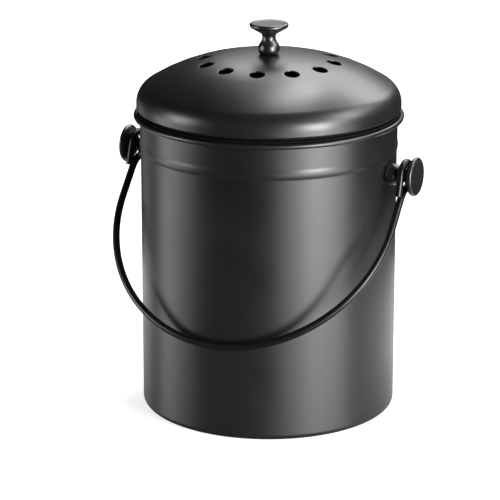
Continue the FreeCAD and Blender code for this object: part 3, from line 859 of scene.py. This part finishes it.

# %% [markdown]
# Under the dome sits the collar, a ring that is held in the dome's rolled hem. Its skirt
# centres the lid in the pail's mouth and its fold rests on the rim. It could be left out
# while the lid is shut, but it shows in the gap, and whole when the lid is lifted. It is
# turned like the wall and has the darker, dull coat that is painted shade for the gap.

# %% Collar
SKIRT_PLAY = 2.3
SKIRT_DEPTH = 12.0
FOLD_INSET = 1.7
skirt_outer = MOUTH_RADIUS - SKIRT_PLAY
skirt_inner = skirt_outer - LID_SHEET
skirt_bottom = PAIL_HEIGHT - SKIRT_DEPTH
web_outer = LID_RADIUS - 2 * HEM_RADIUS - JOINT_GAP
fold_x = CREST_RADIUS - FOLD_INSET
fold_reach = FLARE + LID_SHEET + SEAT_GAP
fold_z = PAIL_HEIGHT - FLARE + math.sqrt(fold_reach ** 2 - FOLD_INSET ** 2)
collar_outline = outline(
    (skirt_inner, skirt_bottom),
    (skirt_outer, skirt_bottom),
    (skirt_outer, fold_z - LID_SHEET),
    (fold_x, fold_z - LID_SHEET),
    (fold_x + LID_SHEET, fold_z, LID_SHEET),
    (fold_x, fold_z + LID_SHEET, LID_SHEET),
    (web_outer, fold_z + LID_SHEET),
    (web_outer, HEM_HEIGHT + HEM_RETURN),
    (web_outer - LID_SHEET, HEM_HEIGHT + HEM_RETURN),
    (web_outer - LID_SHEET, fold_z),
    (skirt_inner, fold_z),
    (skirt_inner, skirt_bottom),
)
# The collar's darker, dull coat is painted shade for the gap under the lid.
belongs(turned("collar_ring", collar_outline, dull_black), "lid", "lid_collar")

# %% [markdown]
# The three knobs are the same turned part: a round bead at the foot, a thin neck for the
# wire and a head like a mushroom with a shallow dish in its top. The outline is drawn once,
# up the outside, over the top and down the threaded hole in the foot. Each arc is given by
# how far it goes across the axis and along it, with one of its ends parallel to the axis.

# %% Knob's outline
KNOB_FOOT = 5.6
BALL_RADIUS, BALL_LEVEL = 7.5, 3.7
WAIST_RADIUS, WAIST_LEVEL = 6.0, 8.2
FLARE_RADIUS, FLARE_LEVEL = 6.3, 14.9
CONE_RADIUS, CONE_LEVEL = 12.6, 18.6
HEAD_RADIUS, HEAD_LEVEL = 13.45, 20.4
HEAD_ROUND = 1.5
DISH_RADIUS, DISH_LEVEL = 9.95, 21.5
BORE_RADIUS, BORE_END = 2.05, 9.5


def quarter(across, along):
    """Radius of an arc that runs along the axis at one end and spans these two steps."""
    return (across ** 2 + along ** 2) / (2 * across)


knob_outline = outline(
    (BORE_RADIUS, 0),
    (KNOB_FOOT, 0),
    (BALL_RADIUS, BALL_LEVEL, quarter(BALL_RADIUS - KNOB_FOOT, BALL_LEVEL)),
    (WAIST_RADIUS, WAIST_LEVEL, quarter(BALL_RADIUS - WAIST_RADIUS, WAIST_LEVEL - BALL_LEVEL)),
    (NECK_RADIUS, NECK_LEVEL, -quarter(WAIST_RADIUS - NECK_RADIUS, NECK_LEVEL - WAIST_LEVEL)),
    (FLARE_RADIUS, FLARE_LEVEL, -quarter(FLARE_RADIUS - NECK_RADIUS, FLARE_LEVEL - NECK_LEVEL)),
    (CONE_RADIUS, CONE_LEVEL),
    (HEAD_RADIUS, HEAD_LEVEL, quarter(HEAD_RADIUS - CONE_RADIUS, HEAD_LEVEL - CONE_LEVEL)),
    (HEAD_RADIUS - HEAD_ROUND, KNOB_HEIGHT, HEAD_ROUND),
    (DISH_RADIUS, DISH_LEVEL),
    (0, DISH_LEVEL),
    (0, BORE_END),
    (BORE_RADIUS, BORE_END),
    (BORE_RADIUS, 0),
)
print("knob's outline has", len(knob_outline), "points")

# %% [markdown]
# One knob stands on the lid and two stand out from the pail's sides, where they carry the
# bail. The ears' copies are laid on their sides in the mesh itself, so that the objects
# stay at the origin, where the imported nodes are, and the paint's pattern doesn't slide.


# %% Three knobs
KNOB_STEPS = 96


def knob(name, body, node, stand):
    made = turned(name, knob_outline, gloss_black, steps=KNOB_STEPS)
    made.data.transform(stand)
    return belongs(made, body, node)


knob("top_knob", "lid", "lid_knob", Matrix.Translation((0, 0, APEX * MM)))
for side, sign in (("left", -1), ("right", 1)):
    lie = Matrix.Rotation(sign * math.pi / 2, 4, "Y")
    move = Matrix.Translation((sign * BODY_RADIUS * MM, 0, EAR_HEIGHT * MM))
    knob(f"{side}_ear_knob", "pail", f"ear_knob_{side}", move @ lie)

# %% [markdown]
# The bail is one wire: a hook round each neck, a short leg from the back of each hook and
# half a circle between the legs. The hook's free end runs back beside the leg. One side is
# worked out in the plane of the hook, from the cut end round the neck and into the leg.
# Arcs that touch each other are used, because a bent wire has no corners.

# %% One side of the bail
HALF_WIDTH = BODY_RADIUS + NECK_LEVEL + EYE_OUTSET
EYE_RADIUS = NECK_RADIUS + EYE_PLAY + WIRE_RADIUS
leave_angle = math.acos((LEG_OFFSET + EYE_BEND) / (EYE_RADIUS + EYE_BEND))
leg_start = (EYE_RADIUS + EYE_BEND) * math.sin(leave_angle)
PATH_STEP = math.radians(4)
CIRCLE_STEP = math.radians(2)
CUT_EDGE = 0.3


def around(centre, radius, start, stop, step=PATH_STEP):
    """Points of an arc between two angles, both ends included."""
    count = max(2, math.ceil(abs(stop - start) / step))
    angles = [start + (stop - start) * i / count for i in range(count + 1)]
    return [(centre[0] + radius * math.cos(a), centre[1] + radius * math.sin(a)) for a in angles]


def one_side():
    """The hook and its bend into the leg, in the plane of the hook, from the cut end."""
    tip = Vector((LEG_OFFSET - 2 * WIRE_RADIUS - EYE_END_GAP, -EYE_END_REACH))
    run = math.sqrt(tip.length_squared - EYE_RADIUS ** 2)
    meet = math.atan2(tip.y, tip.x) - math.atan2(run, EYE_RADIUS) + math.tau
    eye = around((0, 0), EYE_RADIUS, meet, -leave_angle)
    edge = tip.lerp(Vector(eye[0]), CUT_EDGE / run)
    bend_centre = (LEG_OFFSET + EYE_BEND, -leg_start)
    bend = around(bend_centre, EYE_BEND, math.pi - leave_angle, math.pi)
    return [tuple(tip), tuple(edge)] + eye + bend[1:]


side_points = one_side()
print("one side has", len(side_points), "points")

# %% [markdown]
# The other side is the mirror of the first, and half a circle joins them. The path is
# worked out as it hangs straight down and is then swung forwards until it rests on the
# wall, as the real bail does. The third tree gives it its round section. The swing could
# be read off the photograph, but it follows from the radii, so it is worked out.

# %% Whole bail
half_circle = around((0, -BAIL_LEG), HALF_WIDTH, 0, -math.pi, CIRCLE_STEP)
right_side = [(HALF_WIDTH, y, z) for y, z in side_points]
left_side = [(-x, y, z) for x, y, z in reversed(right_side)]
hanging = right_side + [(x, LEG_OFFSET, z) for x, z in half_circle] + left_side
reach = BAIL_LEG + HALF_WIDTH
stand_off = BODY_RADIUS + WIRE_RADIUS + SEAT_GAP
swing = math.asin(stand_off / math.hypot(reach, LEG_OFFSET)) + math.atan2(LEG_OFFSET, reach)
forwards = Matrix.Translation((0, 0, EAR_HEIGHT)) @ Matrix.Rotation(-swing, 4, "X")
wire = path_blank("bail_wire", [forwards @ Vector(point) for point in hanging])
settle(wire, WIRE, wire_radius=WIRE_RADIUS * MM, finish=wire_black)
belongs(wire, "handle", "handle")
print("bail swung", round(math.degrees(swing), 2), "degrees")

# %% [markdown]
# The filter is a round of carbon felt on a plastic holder. Felt is soft, so its plain disc
# is replaced by one with rounded edges and a slight swell. A pad this thin and stiff
# hardly sags, so it is drawn and not simulated.

# %% Filter's felt
PAD_RADIUS = 83.0
PAD_BOTTOM = 197.7
PAD_TOP = 205.7
PAD_ROUND = 2.0
PAD_SWELL = 3000.0
felt_outline = outline(
    (0, PAD_BOTTOM),
    (PAD_RADIUS - PAD_ROUND, PAD_BOTTOM),
    (PAD_RADIUS, PAD_BOTTOM + PAD_ROUND, PAD_ROUND),
    (PAD_RADIUS, PAD_TOP - 2 * PAD_ROUND),
    (PAD_RADIUS - PAD_ROUND, PAD_TOP - PAD_ROUND, PAD_ROUND),
    (0, PAD_TOP, PAD_SWELL),
)
felt = belongs(turned("felt_pad", felt_outline, charcoal_felt), "filter", "filter_pad")

# %% [markdown]
# The holder, the screws, the washers and the seals have the right shapes already, so the
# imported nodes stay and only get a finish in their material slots. The nodes that are
# replaced get theirs too, which costs nothing and keeps them right if one is shown again.

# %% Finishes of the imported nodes
slot_finish = {
    "plated_steel": plated_steel,
    "black_rubber": black_rubber,
    "black_plastic": black_plastic,
    "satin_black": satin_black,
    "gloss_black": gloss_black,
    "charcoal_felt": charcoal_felt,
}
for part in frame["record"]["subparts"]:
    node = frame["nodes"][part["node"]]
    node.data.materials.clear()
    node.data.materials.append(slot_finish[part["material_slot"]])

# %% [markdown]
# The studio's floor is pale and plain and reaches past the picture. It is lit as any floor,
# so it keeps the object's shadow, and it also glows for the camera alone, more so further
# away, so that the background is white without more light on the object. Black paint shows
# whatever stands round it: in the photograph that is a dark room with soft boxes, and the
# white ground isn't mirrored in the walls. So this floor is left out of reflections.

# %% Floor
FLOOR_REACH = 6.0
FLOOR_GREY = 0.6
GLOW_LOW = 0.75
GLOW_NEAR = 0.3
GLOW_FAR = 1.2


def surface(board, signal):
    """Plugs a finished shader into the material's output."""
    board.tree.links.new(signal.socket, board.tree.nodes["Material Output"].inputs["Surface"])


def bare_board(name):
    """A material's board without the usual shader, and its coordinates."""
    material, board, shader, where = finish_board(name)
    board.tree.nodes.remove(shader)
    return material, board, where


def flat_stage(name, points, material):
    """A flat piece of the studio, which isn't part of the object."""
    mesh = bpy.data.meshes.new(name)
    mesh.from_pydata(points, (), [tuple(range(len(points)))])
    mesh.materials.append(material)
    made = bpy.data.objects.new(name, mesh)
    bpy.context.scene.collection.objects.link(made)
    made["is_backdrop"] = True
    return made


def floor_finish():
    material, board, where = bare_board("studio_floor")
    camera_only = board.add("ShaderNodeLightPath", out="Is Camera Ray")
    away = board.add("ShaderNodeVectorMath", {"operation": "LENGTH"}, {0: where}, out=1)
    white = spread(board, away, GLOW_LOW, 1.0, GLOW_NEAR, GLOW_FAR)
    lit = board.add("ShaderNodeBsdfDiffuse", {}, {"Color": (FLOOR_GREY, FLOOR_GREY, FLOOR_GREY, 1)})
    glow = board.add("ShaderNodeEmission", {}, {"Color": white, "Strength": camera_only})
    surface(board, board.add("ShaderNodeAddShader", {}, {0: lit, 1: glow}))
    return material


corners = [(x * FLOOR_REACH, y * FLOOR_REACH, 0) for x, y in ((-1, -1), (1, -1), (1, 1), (-1, 1))]
floor = flat_stage("studio_floor", corners, floor_finish())
floor.visible_glossy = False
floor.visible_shadow = False
print("floor", 2 * FLOOR_REACH, "m wide")

# %% [markdown]
# The world is the room. Past the floor it is white for the camera, and for everything else
# it is nearly dark, a little light that fills the blackest corners. A bright world would be
# simpler, but it would lay an even haze over the black paint.

# %% Room
AMBIENT = 0.02
world = bpy.data.worlds.new("studio")
world.use_nodes = True
bpy.context.scene.world = world
world_board = Board(world.node_tree)
background = world.node_tree.nodes["Background"]
background.inputs["Color"].default_value = (1, 1, 1, 1)
seen = world_board.add("ShaderNodeLightPath", out="Is Camera Ray")
world_board.tree.links.new((seen * (1 - AMBIENT) + AMBIENT).socket, background.inputs["Strength"])
print("room's own light", AMBIENT)

# %% [markdown]
# The camera stands where the photograph was taken from, a little above the lid and turned
# to the right of the front. Its place and its focal length, in pixels of a picture 500
# wide, were found from the outlines of the base, the rim, the dome and the ears. Other
# parts of the studio are placed by their angle from it.

# %% Camera
CAMERA_TURN = math.radians(24.14)
CAMERA_DISTANCE = 1.7424
CAMERA_HEIGHT = 0.6431
CAMERA_PITCH = 0.29729
CAMERA_YAW = -0.007488
FOCAL_PIXELS = 2589.3
PICTURE_PIXELS = 500
SENSOR = 36.0


def from_camera(angle, distance, height):
    """A point at an angle from the camera's direction, to the picture's right when positive."""
    turn = CAMERA_TURN + angle
    return Vector((distance * math.sin(turn), -distance * math.cos(turn), height))


def aim(thing, place, towards):
    thing.location = place
    thing.rotation_euler = (Vector(towards) - place).to_track_quat("-Z", "Y").to_euler()


camera_data = bpy.data.cameras.new("studio_camera")
camera = bpy.data.objects.new("studio_camera", camera_data)
bpy.context.scene.collection.objects.link(camera)
camera_data.sensor_width = SENSOR
camera_data.lens = FOCAL_PIXELS / PICTURE_PIXELS * SENSOR
camera_data.clip_end = 50
place = from_camera(0, CAMERA_DISTANCE, CAMERA_HEIGHT)
heading = CAMERA_TURN - CAMERA_YAW
ahead = Vector((
    -math.sin(heading) * math.cos(CAMERA_PITCH),
    math.cos(heading) * math.cos(CAMERA_PITCH),
    -math.sin(CAMERA_PITCH),
))
aim(camera, place, place + ahead)
bpy.context.scene.camera = camera
print("camera", [round(value, 3) for value in camera.location], "lens", round(camera_data.lens, 1), "mm")

# %% [markdown]
# Close to the pail the ground is mirrored after all: the photograph has light edges along
# the lower wall, where a wall seen at a flat angle shows the ground behind it. A round
# sheet that only reflections can see gives them. It is brighter behind than in front. A
# smaller floor that reflections see would do it as well, but it would hide the low lamps.

# %% Mirrored ground
SHEET_REACH = 0.38
SHEET_DROP = 0.0005
SHEET_SIDES = 96
SHEET_TURN = math.radians(150)
SHEET_FRONT, SHEET_FRONT_ENDS = 0.12, -0.08
SHEET_BACK, SHEET_BACK_STARTS = 1.5, 0.16


def sheet_finish():
    material, board, where = bare_board("mirrored_sheet")
    behind = board.add(
        "ShaderNodeVectorMath", {"operation": "DOT_PRODUCT"},
        {0: where, 1: from_camera(SHEET_TURN, 1, 0)}, out=1,
    )
    level = spread(board, behind, SHEET_FRONT, SHEET_BACK, SHEET_FRONT_ENDS, SHEET_BACK_STARTS)
    glow = board.add("ShaderNodeEmission", {}, {"Color": level})
    clear = board.add("ShaderNodeBsdfTransparent")
    surface(board, board.add("ShaderNodeAddShader", {}, {0: glow, 1: clear}))
    return material


turns = [math.tau * i / SHEET_SIDES for i in range(SHEET_SIDES)]
edge = [(SHEET_REACH * math.cos(a), SHEET_REACH * math.sin(a), -SHEET_DROP) for a in turns]
sheet = flat_stage("mirrored_sheet", edge, sheet_finish())
sheet.visible_camera = False
sheet.visible_diffuse = False
sheet.visible_transmission = False
sheet.visible_shadow = False
print("mirrored ground", 2 * SHEET_REACH, "m across")

# %% [markdown]
# On a cylinder each lamp is one upright streak, and its place round the object decides
# where the streak lies. The photograph has a strong streak right of the middle, a weaker
# one at the left and a broad light over the dome from behind. The lamps are soft boxes on
# a sphere round the object, and each covers 20 degrees of the way round. Each has its angle
# from the camera, to the right when positive, its angle above the ground and its radiance.
# Those below the ground light the upright walls, which the camera looks down on, and the
# floor doesn't stop them.

# %% Lamps
LAMP_DISTANCE = 1.4
LAMP_SPAN = math.radians(20)
LAMP_TALL = 0.6
LAMP_MIDDLE = 0.12
LAMPS = {
    "key": (40, 12, 28),
    "key_foot_left": (20, -12, 3),
    "key_foot": (40, -12, 7),
    "key_foot_right": (60, -12, 5),
    "left": (-80, 12, 8),
    "left_foot": (-80, -12, 1.5),
    "left_edge": (-100, -12, 3),
    "left_rear": (-140, -12, 0.5),
    "right_low": (60, 25, 6),
    "right": (80, 38, 11),
    "right_back": (105, 42, 4),
    "back_right": (140, 38, 7),
    "back": (160, 38, 4),
    "back_left": (180, 38, 4),
    "crown": (160, 64, 16),
}
for name, (turn, rise, radiance) in LAMPS.items():
    lean = math.radians(rise)
    width = 2 * LAMP_DISTANCE * math.tan(LAMP_SPAN / 2) * math.cos(lean)
    lamp_data = bpy.data.lights.new(name + "_lamp", "AREA")
    lamp_data.shape = "RECTANGLE"
    lamp_data.size = width
    lamp_data.size_y = LAMP_TALL
    lamp_data.energy = radiance * math.pi * width * LAMP_TALL
    lamp = bpy.data.objects.new(lamp_data.name, lamp_data)
    bpy.context.scene.collection.objects.link(lamp)
    place = from_camera(
        math.radians(turn), LAMP_DISTANCE * math.cos(lean), LAMP_MIDDLE + LAMP_DISTANCE * math.sin(lean)
    )
    aim(lamp, place, (0, 0, LAMP_MIDDLE))
print("lamps", list(LAMPS))

# %% [markdown]
# At the end the view is set to Standard, so that a colour shows as it is written, and the
# visual model's box is compared with the imported model's, because the dressed part has to
# keep its size.

# %% View and size
bpy.context.scene.view_settings.view_transform = "Standard"
for label, packed, dressed in zip(("lowest", "highest"), cad_box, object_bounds()):
    print(label, "corner differs by", [round((b - a) / MM, 2) for a, b in zip(packed, dressed)], "mm")
